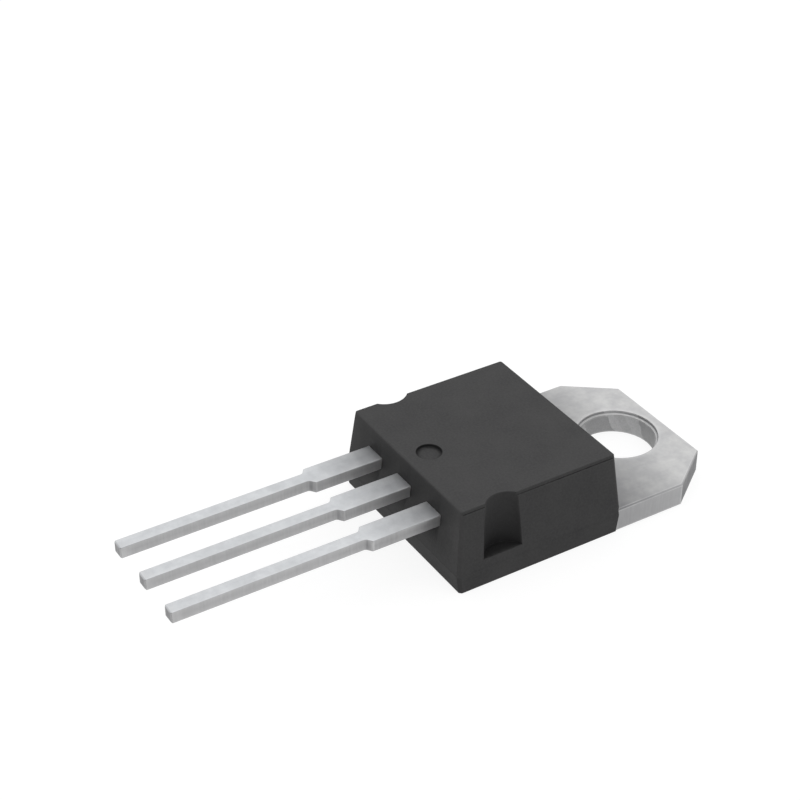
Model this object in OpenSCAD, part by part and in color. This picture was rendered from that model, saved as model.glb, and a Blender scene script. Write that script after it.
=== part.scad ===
// Three-lead power package with a mounting tab: an epoxy moulding cast round a copper
// frame, a silicon die and its bond wires. All lengths are millimetres, angles degrees.
//
// +Z is up out of the mounting face, which lies in z = 0. +Y runs to the free end of the
// tab and the leads run to -Y. The origin is on the tab hole's axis, in the mounting face.
// Pin 1 (control) is at -X, pin 2 (source, one piece with the tab) at X = 0, and pin 3
// (drain) at +X.

/* [Body] */
// Width of the moulding across its parting line
body_w = 10.04; // [9.7:0.02:10.7]
// Length of the moulding along its parting line
body_l = 9.12; // [8.9:0.02:9.6]
// Height from the mounting face to the front face
body_h = 4.3; // [4.2:0.05:4.8]
// Height of the mould's parting line above the mounting face
parting_z = 0.92; // [0.6:0.02:1.2]
// Draft of all four walls in front of the parting line
front_draft = 5.8; // [2:0.1:7]
// Draft of the two end walls behind the parting line
end_back_draft = 7; // [1:0.1:8]
// Draft of the two long walls behind the parting line
side_back_draft = 0.5; // [0.2:0.1:5]
// Width of the ledge that the mould's insert leaves along the two long walls
ledge_w = 0.05; // [0.02:0.01:0.15]
// Distance of that ledge below the front face
ledge_drop = 0.2; // [0.1:0.01:0.4]
// Rounding along the front face's edge above the leads
lead_edge_r = 0.12; // [0.05:0.01:0.5]
// Rounding along the front face's edge above the tab
tab_edge_r = 0.12; // [0.05:0.01:0.3]
// Width of the flat on each upright corner
corner_flat = 0.2; // [0.1:0.01:0.5]

/* [Side notches] */
// Radius of the half-round notch in each long side
notch_r = 1.12; // [0.8:0.02:1.3]
// Distance of the notch's axis outside the parting line
notch_outset = 0.36; // [0.2:0.02:0.6]
// Distance of the notch's axis from the lead end
notch_y = 2.44; // [2.2:0.02:3]
// Height of the notch's floor above the mounting face
notch_floor = 1.47; // [1.35:0.01:2]

/* [Pin marker] */
// Diameter of the ejector dimple in the front face
dimple_d = 1.2; // [0.8:0.05:1.5]
// Depth of the dimple
dimple_depth = 0.14; // [0.05:0.01:0.2]
// Distance of the dimple's centre from the lead end
dimple_y = 1.6; // [1.4:0.05:2.4]

/* [Tab] */
// Width of the tab
tab_w = 9.98; // [9.2:0.02:10.4]
// Thickness of the tab
tab_t = 1.24; // [1.1:0.01:1.34]
// Length of the tab beyond the moulding
tab_l = 6.05; // [5.6:0.05:6.6]
// Length of each cut corner, measured across the tab
tab_corner_x = 1.8; // [1.2:0.05:2.2]
// Length of each cut corner, measured along the tab
tab_corner_y = 2.4; // [1.6:0.05:2.8]
// Bevel round the tab's outer edges
tab_edge_bevel = 0.06; // [0.02:0.01:0.12]
// Diameter of the mounting hole
hole_d = 3.86; // [3.5:0.02:4.1]
// Distance of the hole's centre from the tab's free end
hole_to_end = 2.53; // [2.45:0.01:2.9]
// Width of the ring that is coined round the hole in the tab's front face
hole_ring_w = 0.1; // [0.04:0.01:0.16]
// Depth of that ring
hole_ring_depth = 0.18; // [0.08:0.01:0.3]

/* [Leads] */
// Distance between neighbouring leads
lead_pitch = 2.54; // [2.45:0.01:2.65]
// Thickness of the leads
lead_t = 0.6; // [0.4:0.01:0.64]
// Height of the leads' rear face above the mounting face
lead_z = 2.64; // [2.4:0.01:2.8]
// Length of the leads from the moulding to their tips
lead_l = 13; // [8:0.1:14.5]
// Width of the leads beside the moulding
lead_wide_w = 1.23; // [1.1:0.01:1.6]
// Width of the leads beyond their step
lead_w = 0.65; // [0.5:0.01:0.9]
// Length of the wide part outside the moulding
lead_wide_l = 3.3; // [2.8:0.05:4]
// Length of the slope that joins the wide part to the narrow one
lead_step_l = 0.22; // [0.15:0.01:0.4]
// Bevel round the leads' tips
lead_tip_bevel = 0.07; // [0.03:0.01:0.12]

/* [Frame inside the moulding] */
// Width of the die pad
pad_w = 7.8; // [7:0.05:8.2]
// Thickness of the moulding behind the die pad
pad_cover = 0.4; // [0.3:0.01:0.5]
// Distance of the centre lead's first bend from the lead end
bend_start = 0.75; // [0.65:0.01:0.95]
// Slope of the centre lead between its bends
bend_angle = 60; // [50:1:70]
// Radius of the bends along the middle of the sheet
bend_r = 0.6; // [0.4:0.02:0.7]
// Width of the bond posts
post_w = 2.2; // [1.8:0.05:2.3]
// Length of the bond posts
post_l = 1.1; // [1:0.05:1.3]
// Distance from the lead end to the bond posts
post_y = 1; // [0.8:0.05:1.2]
// Corner radius of the bond posts
post_corner_r = 0.2; // [0.1:0.01:0.3]
// Width of the moisture groove across the pad
groove_w = 0.4; // [0.3:0.01:0.5]
// Depth of the moisture groove
groove_depth = 0.15; // [0.08:0.01:0.2]
// Distance of the moisture groove from the tab end of the moulding
groove_y = 0.75; // [0.6:0.01:0.85]
// Radius of the locking notches in the pad's sides
lock_r = 0.45; // [0.3:0.01:0.55]
// Distance of the locking notches from the tab end of the moulding
lock_y = 2.2; // [1.9:0.05:2.6]

/* [Die and wires] */
// Width of the die
die_w = 3.2; // [2.8:0.05:3.6]
// Length of the die
die_l = 3.7; // [3.3:0.05:3.9]
// Thickness of the die
die_t = 0.3; // [0.2:0.01:0.4]
// Distance of the die from the pad's edge
die_inset = 0.6; // [0.4:0.05:0.7]
// Thickness of the solder under the die
solder_t = 0.05; // [0.03:0.01:0.08]
// Width of the solder's fillet round the die
solder_margin = 0.15; // [0.05:0.01:0.25]
// Diameter of the control wire
control_wire_d = 0.13; // [0.1:0.01:0.2]
// Diameter of the drain and source wires
power_wire_d = 0.3; // [0.2:0.01:0.34]
// Distance between the two drain wires
wire_pair_gap = 0.8; // [0.75:0.01:0.9]
// Distance from the die's side to the source wires' feet on the pad
pad_foot_reach = 0.9; // [0.75:0.05:1.2]
// Angle at which a wire leaves the die for a bond post
post_wire_lift = 78; // [70:1:85]
// Angle at which a wire leaves the die for the pad
pad_wire_lift = 55; // [50:1:65]

/* [Hidden] */
$fn = 64;
// How far a cutting shape runs past the face that it cuts
past = 1;

tab_end_y = hole_to_end;
body_tab_y = tab_end_y - tab_l;
body_lead_y = body_tab_y - body_l;
body_mid_y = (body_tab_y + body_lead_y) / 2;
lead_tip_y = body_lead_y - lead_l;
lead_step_y = body_lead_y - lead_wide_l;
lead_top = lead_z + lead_t;

// Where the centre lead comes down to the die pad
bend_drop = lead_top - tab_t;
slope_l = (bend_drop - 2 * bend_r * (1 - cos(bend_angle))) / sin(bend_angle);
bend_run = 2 * bend_r * sin(bend_angle) + slope_l * cos(bend_angle);
bend_y = body_lead_y + bend_start;
pad_y = bend_y + bend_run;

die_lead_y = pad_y + die_inset;
die_tab_y = die_lead_y + die_l;
die_z = tab_t + solder_t;
die_top = die_z + die_t;

// Places of the wires' feet on the die, from its edges, and on the bond posts
foot_inset = 0.45;
post_foot_y = body_lead_y + post_y + post_l / 2;

// Points of an arc about a centre
function arc(centre, radius, from, to, steps = 8) = [
    for (i = [0:steps])
        let (a = from + (to - from) * i / steps)
            centre + radius * [cos(a), sin(a)]
];

// Distance from a corner with a drafted wall to where a fillet of radius r touches its sides
function fillet_reach(r) = r / tan((90 + front_draft) / 2);

// ---- Moulding ----

// How far the walls lean in at the front face, and at the back face for each pair of walls
front_lean = (body_h - parting_z) * tan(front_draft);
end_back_lean = parting_z * tan(end_back_draft);
side_back_lean = parting_z * tan(side_back_draft);

// Upright section of the moulding between two walls that lean in by `front` and `back`
module drafted_section(low, high, front, back) {
    polygon([
        [low + back, 0], [high - back, 0], [high, parting_z],
        [high - front, body_h], [low + front, body_h], [low, parting_z]
    ]);
}

// Section across the moulding: its long walls step in at a ledge just below the front face
module cross_section() {
    ledge_lean = (body_h - ledge_drop - parting_z) * tan(front_draft);
    right = [
        [body_w / 2 - side_back_lean, 0], [body_w / 2, parting_z],
        [body_w / 2 - ledge_lean, body_h - ledge_drop],
        [body_w / 2 - ledge_lean - ledge_w, body_h - ledge_drop],
        [body_w / 2 - front_lean - ledge_w, body_h]
    ];
    polygon(concat(right, [for (i = [len(right) - 1:-1:0]) [-right[i].x, right[i].y]]));
}

// Section along the moulding, with the front face's two end edges rounded
module length_section() {
    lead_corner = body_lead_y + front_lean;
    tab_corner = body_tab_y - front_lean;
    lead_reach = fillet_reach(lead_edge_r);
    tab_reach = fillet_reach(tab_edge_r);
    wall = [sin(front_draft), cos(front_draft)];
    polygon([
        [body_lead_y + end_back_lean, 0], [body_tab_y - end_back_lean, 0], [body_tab_y, parting_z],
        [tab_corner + tab_reach * wall.x, body_h - tab_reach * wall.y],
        [tab_corner - tab_reach, body_h], [lead_corner + lead_reach, body_h],
        [lead_corner - lead_reach * wall.x, body_h - lead_reach * wall.y],
        [body_lead_y, parting_z]
    ]);
    translate([lead_corner + lead_reach, body_h - lead_edge_r]) circle(lead_edge_r);
    translate([tab_corner - tab_reach, body_h - tab_edge_r]) circle(tab_edge_r);
}

// Outer form of the moulding, before the notches and the dimple
module body_envelope() {
    // Across the corners, both walls' leans add up along the diagonal
    corner_reach = (body_w + body_l) / 2 / sqrt(2) - corner_flat / 2;
    corner_front = 2 * front_lean / sqrt(2);
    corner_back = (end_back_lean + side_back_lean) / sqrt(2);
    intersection() {
        translate([0, body_tab_y + past, 0]) rotate([90, 0, 0])
            linear_extrude(body_l + 2 * past) cross_section();
        translate([-body_w / 2 - past, 0, 0]) rotate([90, 0, 90])
            linear_extrude(body_w + 2 * past) length_section();
        for (turn = [-45, 45])
            translate([0, body_mid_y, 0]) rotate([90, 0, turn])
                linear_extrude(body_w + body_l, center = true)
                    drafted_section(-corner_reach, corner_reach, corner_front, corner_back);
    }
}

module side_notches() {
    for (side = [-1, 1])
        translate([side * (body_w / 2 + notch_outset), body_lead_y + notch_y, notch_floor])
            cylinder(r = notch_r, h = body_h);
}

module molded_body() {
    color("#414144") difference() {
        body_envelope();
        side_notches();
        translate([0, body_lead_y + dimple_y, body_h - dimple_depth])
            cylinder(d = dimple_d, h = past);
        frame_inside();
        side_lead(-1);
        side_lead(1);
        die_block();
        solder_block();
        control_wire();
        for (i = [0, 1]) {
            drain_wire(i);
            source_wire(i);
        }
    }
}

// ---- Leads ----

// Plan of one lead from its tip to `inner_y`, as cut from the sheet
module lead_plan(inner_y) {
    wide = lead_wide_w / 2;
    narrow = lead_w / 2;
    step_r = lead_step_l / 2;
    step_end_y = lead_step_y - lead_step_l;
    // Concave radius where the slope runs out into the narrow part, right half then mirrored
    run_out = arc([narrow + step_r, step_end_y - step_r], step_r, 180, 135);
    right = concat([[narrow, lead_tip_y]], run_out, [[wide, lead_step_y], [wide, inner_y]]);
    left = [for (i = [len(right) - 1:-1:0]) [-right[i].x, right[i].y]];
    polygon(concat(right, left));
}

// One straight lead, standing on its rear face, with a bevelled tip
module lead_blade(inner_y) {
    translate([0, 0, lead_z]) difference() {
        linear_extrude(lead_t) lead_plan(inner_y);
        for (z = [0, lead_t])
            translate([0, lead_tip_y, z]) rotate([45, 0, 0])
                cube([lead_wide_w + past, lead_tip_bevel * sqrt(2), lead_tip_bevel * sqrt(2)], center = true);
        for (x = [-lead_w / 2, lead_w / 2])
            translate([x, lead_tip_y, lead_t / 2]) rotate([0, 0, 45])
                cube([lead_tip_bevel * sqrt(2), lead_tip_bevel * sqrt(2), lead_t + past], center = true);
    }
}

// Bond post: a plate with rounded corners, wider than the lead that carries it
module post_plan() {
    square([post_w, post_l - 2 * post_corner_r], center = true);
    square([post_w - 2 * post_corner_r, post_l], center = true);
    for (x = [-1, 1], y = [-1, 1])
        translate([x * (post_w / 2 - post_corner_r), y * (post_l / 2 - post_corner_r)])
            circle(post_corner_r);
}

module side_lead(side) {
    translate([side * lead_pitch, 0, 0]) {
        lead_blade(body_lead_y + post_y + post_l / 2);
        translate([0, body_lead_y + post_y + post_l / 2, lead_z]) linear_extrude(lead_t) post_plan();
    }
}

module control_lead() {
    color("#b9b9bb") side_lead(-1);
}

module drain_lead() {
    color("#b9b9bb") side_lead(1);
}

// ---- Tab, die pad and centre lead ----

// Plan of the tab, cut corners and all. It starts behind the moulding's end wall and behind
// the flats on the moulding's corners, which then trim it.
tab_plan = let (
    half = tab_w / 2,
    wall_lean = max(end_back_lean, (tab_t - parting_z) * tan(front_draft)),
    root_y = body_tab_y - wall_lean - corner_flat / sqrt(2)
) [
    [half, root_y], [half, tab_end_y - tab_corner_y], [half - tab_corner_x, tab_end_y],
    [tab_corner_x - half, tab_end_y], [-half, tab_end_y - tab_corner_y], [-half, root_y]
];

// Wedge that bevels the tab's upper or lower edge along the line from a to b
module edge_wedge(a, b, z) {
    run = b - a;
    translate([(a.x + b.x) / 2, (a.y + b.y) / 2, z]) rotate([0, 0, atan2(run.y, run.x)]) rotate([45, 0, 0])
        cube([norm(run) + past, tab_edge_bevel * sqrt(2), tab_edge_bevel * sqrt(2)], center = true);
}

// The tab outside the moulding: its shoulders stand against the moulding's end wall
module tab_plate() {
    difference() {
        linear_extrude(tab_t) polygon(tab_plan);
        body_envelope();
        for (i = [0:len(tab_plan) - 2], z = [0, tab_t])
            edge_wedge(tab_plan[i], tab_plan[i + 1], z);
    }
}

// The centre lead's side view, from `outer_y` down its two bends to the die pad
module stem_profile(outer_y) {
    inner_r = bend_r - lead_t / 2;
    outer_r = bend_r + lead_t / 2;
    first = [bend_y, lead_top - outer_r];
    second = [pad_y, tab_t + inner_r];
    polygon(concat(
        [[outer_y, lead_top]],
        arc(first, outer_r, 90, 90 - bend_angle),
        arc(second, inner_r, 270 - bend_angle, 270),
        [[pad_y + lead_t, tab_t], [pad_y + lead_t, tab_t - lead_t]],
        arc(second, outer_r, 270, 270 - bend_angle),
        arc(first, inner_r, 90 - bend_angle, 90),
        [[outer_y, lead_z]]
    ));
}

// Die pad, thinner than the tab, with its groove and its locking notches
module die_pad() {
    difference() {
        translate([-pad_w / 2, pad_y, pad_cover])
            cube([pad_w, body_tab_y + past - pad_y, tab_t - pad_cover]);
        translate([0, body_tab_y - groove_y, tab_t]) rotate([90, 0, 90])
            linear_extrude(pad_w + past, center = true)
                polygon([[-groove_w / 2, 0], [0, -groove_depth], [groove_w / 2, 0], [0, past]]);
        for (side = [-1, 1])
            translate([side * pad_w / 2, body_tab_y - lock_y, 0]) cylinder(r = lock_r, h = tab_t + past);
    }
}

// What the moulding holds of the frame, with the centre lead out to its tip
module frame_inside() {
    die_pad();
    translate([-lead_wide_w / 2, 0, 0]) rotate([90, 0, 90])
        linear_extrude(lead_wide_w) stem_profile(body_lead_y);
    lead_blade(body_lead_y);
}

// The hole, with the shallow ring that the punch leaves round it in the front face
module mounting_hole() {
    translate([0, 0, -past]) cylinder(d = hole_d, h = tab_t + 2 * past);
    translate([0, 0, tab_t - hole_ring_depth])
        cylinder(r = hole_d / 2 + hole_ring_w, h = hole_ring_depth + past);
}

module tab_frame() {
    color("#c4c4c6") difference() {
        union() {
            tab_plate();
            frame_inside();
        }
        mounting_hole();
    }
}

// ---- Die, solder and bond wires ----

module die_block() {
    translate([-die_w / 2, die_lead_y, die_z]) cube([die_w, die_l, die_t]);
}

module solder_block() {
    translate([-die_w / 2 - solder_margin, die_lead_y - solder_margin, tab_t])
        cube([die_w + 2 * solder_margin, die_l + 2 * solder_margin, solder_t]);
}

module silicon_die() {
    color("#5a5f6e") die_block();
}

module die_solder() {
    color("#8f9094") solder_block();
}

// Wedge-bonded foot: the wire pressed flat along its own direction
module wire_foot(d) {
    foot_w = 1.6 * d;
    foot_l = 2.6 * d;
    linear_extrude(0.7 * d) {
        square([foot_l - foot_w, foot_w], center = true);
        for (end = [-1, 1]) translate([end * (foot_l - foot_w) / 2, 0]) circle(d = foot_w);
    }
}

// Bond wire from `start` to `land`, one arc that leaves its start at the angle `lift`
module bond_wire(start, land, d, lift) {
    run = norm([land.x - start.x, land.y - start.y]);
    climb = land.z - start.z;
    turn = lift - atan2(climb, run);
    loop_r = norm([run, climb]) / (2 * sin(turn));
    heading = atan2(land.y - start.y, land.x - start.x);
    for (p = [start, land]) translate(p) rotate([0, 0, heading]) wire_foot(d);
    translate([start.x, start.y, start.z + d / 2]) rotate([0, 0, heading])
        translate([loop_r * sin(lift), 0, -loop_r * cos(lift)]) rotate([90, 0, 0])
            rotate([0, 0, 90 + lift - 2 * turn]) rotate_extrude(angle = 2 * turn)
                translate([loop_r, 0]) circle(d = d);
}

module control_wire() {
    bond_wire(
        [-die_w / 2 + foot_inset, die_lead_y + foot_inset, die_top],
        [-lead_pitch, post_foot_y, lead_top], control_wire_d, post_wire_lift);
}

module drain_wire(i) {
    bond_wire(
        [die_w / 2 - foot_inset - i * wire_pair_gap, die_lead_y + foot_inset, die_top],
        [lead_pitch + (0.5 - i) * wire_pair_gap, post_foot_y, lead_top], power_wire_d, post_wire_lift);
}

// The source wires run down to the pad on either side of the die
module source_wire(i) {
    side = 2 * i - 1;
    y = die_tab_y - foot_inset;
    bond_wire(
        [side * (die_w / 2 - foot_inset), y, die_top],
        [side * (die_w / 2 + pad_foot_reach), y, tab_t], power_wire_d, pad_wire_lift);
}

module bond_wire_colour() {
    color("#d2d3d6") children();
}

molded_body();
tab_frame();
control_lead();
drain_lead();
silicon_die();
die_solder();
bond_wire_colour() control_wire();  // control_bond_wire
bond_wire_colour() drain_wire(0);  // drain_bond_wire_1
bond_wire_colour() drain_wire(1);  // drain_bond_wire_2
bond_wire_colour() source_wire(0);  // source_bond_wire_1
bond_wire_colour() source_wire(1);  // source_bond_wire_2
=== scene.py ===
# %% [markdown]
# # Three-lead power package
#
# The part is a black epoxy moulding with a metal tab and three flat leads, about 28 mm from end to
# end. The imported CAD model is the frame: it says where every piece lies, in metres, with the leads
# running to -Y, the tab to +Y and the mounting face in z = 0. This notebook adds what the solids
# leave out: rounded edges, mould grain, rolled and sheared metal, and the light to see them by.

import bmesh
import bpy
import numpy as np
from mathutils import Matrix, Vector


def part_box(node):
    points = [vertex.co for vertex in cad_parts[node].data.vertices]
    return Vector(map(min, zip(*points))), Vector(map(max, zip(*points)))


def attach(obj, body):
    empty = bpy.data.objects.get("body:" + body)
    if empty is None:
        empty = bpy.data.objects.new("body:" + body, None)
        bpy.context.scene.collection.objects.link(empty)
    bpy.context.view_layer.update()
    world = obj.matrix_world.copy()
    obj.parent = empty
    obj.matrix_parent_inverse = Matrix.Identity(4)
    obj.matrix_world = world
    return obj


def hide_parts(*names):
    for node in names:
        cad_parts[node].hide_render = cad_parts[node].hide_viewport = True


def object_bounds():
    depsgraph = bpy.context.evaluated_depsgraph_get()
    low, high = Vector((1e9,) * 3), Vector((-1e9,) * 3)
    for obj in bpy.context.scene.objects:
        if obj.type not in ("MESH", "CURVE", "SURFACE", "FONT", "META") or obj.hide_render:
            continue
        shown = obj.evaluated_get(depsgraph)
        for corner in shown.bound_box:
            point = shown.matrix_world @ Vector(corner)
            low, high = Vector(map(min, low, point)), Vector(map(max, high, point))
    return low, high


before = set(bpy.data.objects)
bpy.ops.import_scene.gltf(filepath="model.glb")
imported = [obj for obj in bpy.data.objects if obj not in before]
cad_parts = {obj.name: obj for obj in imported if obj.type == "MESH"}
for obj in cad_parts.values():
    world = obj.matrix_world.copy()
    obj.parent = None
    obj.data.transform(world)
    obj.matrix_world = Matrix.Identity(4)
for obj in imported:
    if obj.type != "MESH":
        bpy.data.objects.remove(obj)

cad_low, cad_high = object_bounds()
print("pieces in the frame:", sorted(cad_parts))
print("box in millimetres:", [round(1000 * v, 2) for v in (*cad_low, *cad_high)])

# %% [markdown]
# ## Sizes that the surfaces share
#
# Places come from the boxes of the CAD pieces. The angles, radii and notch sizes below are the ones
# that the drawing of the part gives, in millimetres and degrees, because a box can't tell them.
# Pin 1 stands one pitch from the middle, so its box gives the pitch of the leads too.

# %% Places taken from the CAD pieces
MM = 0.001


def box_mm(node):
    """Lowest and highest corner of a CAD piece, in millimetres."""
    low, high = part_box(node)
    return np.array(low) / MM, np.array(high) / MM


body_low, body_high = box_mm("molded_body")
frame_low, frame_high = box_mm("tab_frame")
pin_1_low, pin_1_high = box_mm("control_lead")
body_half, body_height = float(body_high[0]), float(body_high[2])
lead_end_y, tab_end_y = float(body_low[1]), float(body_high[1])
lead_tip_y, tab_free_y = float(pin_1_low[1]), float(frame_high[1])
lead_rear_z, lead_front_z = float(pin_1_low[2]), float(pin_1_high[2])
lead_pitch = -float(pin_1_low[0] + pin_1_high[0]) / 2
print("moulding:", body_low.round(2), body_high.round(2))
print(f"leads from {lead_tip_y:.2f} to {lead_end_y:.2f}, {lead_pitch:.2f} apart, tab to {tab_free_y:.2f}")

# %% [markdown]
# ## Surfaces as grids of points
#
# Every piece that shows starts as grids: rings of points, one ring after the other, with quads
# between them. Modelling by hand with loop cuts and bevels would do as well, but a formula keeps
# each radius and draft exact, and a change of one number runs through the whole piece. Rings lie
# close together only where the surface turns, and a pair of them frames each rounding, so flat
# faces stay flat.

# %% Turn rings of points into a mesh
def listed(items, key, width=1, kind=float):
    """One property of all the items of a mesh, as an array with a row for each item."""
    values = np.zeros(width * len(items), kind)
    items.foreach_get(key, values)
    return values.reshape(-1, width) if width > 1 else values


def quads_between(rings, columns, joined=False):
    """Quads between neighbouring rings, as rows of four point numbers.

    Point (ring, column) has the number ring * columns + column. Columns always close on themselves,
    and the last ring joins the first one where `joined` is true.
    """
    ring = np.arange(rings if joined else rings - 1)[:, None]
    column = np.arange(columns)[None, :]
    after, beside = (ring + 1) % rings, (column + 1) % columns
    corners = [ring * columns + column, ring * columns + beside,
               after * columns + beside, after * columns + column]
    return np.stack(corners, axis=-1).reshape(-1, 4)


def fan_faces(ring, columns, middle, outward):
    """Triangles from one ring to a middle point, which close the open end of a surface."""
    column = np.arange(columns)
    first, second = ring * columns + column, ring * columns + (column + 1) % columns
    centre = np.full(columns, middle)
    return np.stack([centre, first, second] if outward else [centre, second, first], axis=-1)


def mark_turns(mesh, tight=0.08):
    """Marks where a surface turns sharply, with two values from 0 to 1 on its faces' corners.

    Along an edge the turn is (difference of its ends' normals) . (edge) / length^2. On a rounding
    that is 1 / radius, above 0 where the surface bulges and below 0 where it is hollow. A point
    takes the strongest turn among its edges, and a radius of `tight` or less counts as 1.
    """
    ends = listed(mesh.edges, "vertices", 2, np.int32)
    corner = listed(mesh.loops, "vertex_index", kind=np.int32)
    edge = np.diff(listed(mesh.vertices, "co", 3)[ends], axis=1)[:, 0]
    change = np.diff(listed(mesh.vertex_normals, "vector", 3)[ends], axis=1)[:, 0]
    turn = np.repeat((edge * change).sum(1) / (edge * edge).sum(1) * tight, 2)
    for label, side in (("convex_edge", 1), ("hollow", -1)):
        strongest = np.zeros(len(mesh.vertices))
        np.maximum.at(strongest, ends.ravel(), np.clip(side * turn, 0, 1))
        per_corner = mesh.attributes.new(label, "FLOAT", "CORNER").data
        per_corner.foreach_set("value", strongest[corner].astype(np.float32))


def surface(name, points, joined=False):
    """An object over a grid of points, (rings, columns, 3) in millimetres.

    Rings run so that their direction crossed with the way to the next ring points outwards. Open
    ends close with a fan about the middle of their ring.
    """
    rings, columns = points.shape[:2]
    flat = points.reshape(-1, 3)
    faces = quads_between(rings, columns, joined).tolist()
    if not joined:
        flat = np.vstack([flat, points[0].mean(axis=0), points[-1].mean(axis=0)])
        faces += fan_faces(0, columns, rings * columns, False).tolist()
        faces += fan_faces(rings - 1, columns, rings * columns + 1, True).tolist()
    mesh = bpy.data.meshes.new(name)
    mesh.from_pydata(flat.tolist(), [], faces)
    mesh.shade_smooth()
    mark_turns(mesh)
    piece = bpy.data.objects.new(name, mesh)
    bpy.context.scene.collection.objects.link(piece)
    print(f"{name}: {rings} rings of {columns} points, {len(faces)} faces")
    return piece

# %% Round a line's corners
def rounded_line(points, radii, steps=4):
    """The line through `points` with each inner corner replaced by an arc of its radius.

    An arc touches both legs at radius / tan(half the angle between them). Its centre lies on the
    angle's bisector, radius / sin(half the angle) from the corner. The arc's points swing from one
    touching point to the other in equal turns, and a radius of 0 keeps the corner.
    """
    points, radii = np.asarray(points, float), np.asarray(radii, float)[:, None]
    corner = points[1:-1]
    back, ahead = points[:-2] - corner, points[2:] - corner
    back /= np.linalg.norm(back, axis=1, keepdims=True)
    ahead /= np.linalg.norm(ahead, axis=1, keepdims=True)
    half = np.arccos(np.clip((back * ahead).sum(1, keepdims=True), -1, 1)) / 2
    bisector = back + ahead
    bisector /= np.linalg.norm(bisector, axis=1, keepdims=True)
    centre = corner + bisector * radii / np.sin(half)
    start = corner + back * radii / np.tan(half) - centre
    end = corner + ahead * radii / np.tan(half) - centre
    turn = np.pi - 2 * half
    share = np.linspace(0, 1, steps + 1)[None, :, None]
    turn = turn[:, :, None]
    arc = (np.sin((1 - share) * turn) * start[:, None] + np.sin(share * turn) * end[:, None]) / np.sin(turn)
    return np.vstack([points[:1], (centre[:, None] + arc).reshape(-1, points.shape[1]), points[-1:]])

# %% Rings round straight sides
def corner_arcs(directions, distances, radius, steps=3):
    """Corner arcs of convex outlines, (rings, sides, steps + 1, 2). Arc i joins side i to side i + 1.

    Side i is the line that lies its distance from the origin along its direction, in degrees. An
    arc's centre is where its two sides, both moved in by the radius, cross each other, and its
    points lie one radius from there, from the one side's direction to the other's.
    """
    angle = np.radians(directions)
    normal = np.stack([np.cos(angle), np.sin(angle)], axis=-1)
    following = np.roll(normal, -1, axis=0)
    near = distances - radius
    far = np.roll(near, -1, axis=1)
    crossing = normal[:, 0] * following[:, 1] - normal[:, 1] * following[:, 0]
    centre = np.stack([near * following[:, 1] - far * normal[:, 1],
                       far * normal[:, 0] - near * following[:, 0]], axis=-1) / crossing[:, None]
    turn = (np.roll(angle, -1) - angle) % (2 * np.pi)
    swing = angle[:, None] + turn[:, None] * np.linspace(0, 1, steps + 1)
    return centre[:, :, None] + radius * np.stack([np.cos(swing), np.sin(swing)], axis=-1)


def framed_side(start, end, gap, inner=1):
    """Points along a straight side: one a `gap` from each end, and `inner` points between them."""
    along = end - start
    unit = along / np.linalg.norm(along, axis=-1, keepdims=True)
    first, last = start + unit * gap, end - unit * gap
    share = np.linspace(0, 1, inner + 2)[None, :, None]
    return first[:, None] * (1 - share) + last[:, None] * share


def framed_outline(arcs, gap):
    """Closed rings of points: each corner arc, then the framed straight side that follows it."""
    sides = arcs.shape[1]
    parts = []
    for side in range(sides):
        following = arcs[:, (side + 1) % sides, 0]
        parts += [arcs[:, side], framed_side(arcs[:, side, -1], following, gap)]
    return np.concatenate(parts, axis=1)

# %% Lift outlines to their heights
def at_heights(outline, heights):
    """Points (rings, columns, 3) of level outlines (rings, columns, 2), each ring at its height."""
    lift = np.broadcast_to(heights[:, None, None], (*outline.shape[:2], 1))
    return np.concatenate([outline, lift], axis=2)

# %% [markdown]
# ## The moulding
#
# Transfer-moulded epoxy leaves its mould on drafted walls: they lean in by a few degrees on either
# side of the parting line. A narrow ledge runs along the long walls, just below the front face,
# where the mould's insert meets its cavity, and each upright corner carries a small flat. A
# half-round notch in each long side ends on a floor, and one ejector pin leaves a round dimple.
# Level rings suit all of this, since at every height the outline is a rectangle with cut corners,
# and a notch is the same ring with some of its points pulled in.

# %% Sizes of the moulding
parting_z = 0.92
front_draft, end_back_draft, side_back_draft = 5.8, 7.0, 0.5
ledge_width, ledge_drop, ledge_climb = 0.05, 0.2, 0.02
ridge_height, ridge_half = 0.0025, 0.025
end_edge_radius, fine_radius = 0.12, 0.03
corner_flat, least_flat = 0.2, 0.05
wall_gap = 0.04
notch_radius, notch_outset, notch_from_end, notch_floor_z = 1.12, 0.36, 2.44, 1.47
dimple_radius, dimple_depth, dimple_from_end = 0.6, 0.14, 1.6

# %% Walls in profile
def wall_lean(z, front, back):
    """How far a wall has leant in from the parting line at height z: height over it times tan(draft)."""
    above = np.clip(z - parting_z, 0, None) * np.tan(np.radians(front))
    below = np.clip(parting_z - z, 0, None) * np.tan(np.radians(back))
    return above + below


def rounding(z, draft, radius):
    """What an edge rounding takes off a drafted wall, near the front face above it.

    The arc is tangent to the wall and to the face. With g the gap below the face, its inset from
    the wall's line is radius / cos(draft) - (radius - g) * tan(draft) - sqrt(radius^2 - (radius - g)^2).
    """
    gap = body_height - z
    tilt = np.radians(draft)
    arc = radius / np.cos(tilt) - (radius - gap) * np.tan(tilt)
    arc = arc - np.sqrt(np.clip(radius**2 - (radius - gap) ** 2, 0, None))
    return np.where((gap >= -1e-9) & (gap < radius * (1 - np.sin(tilt))), arc, 0)


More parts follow.
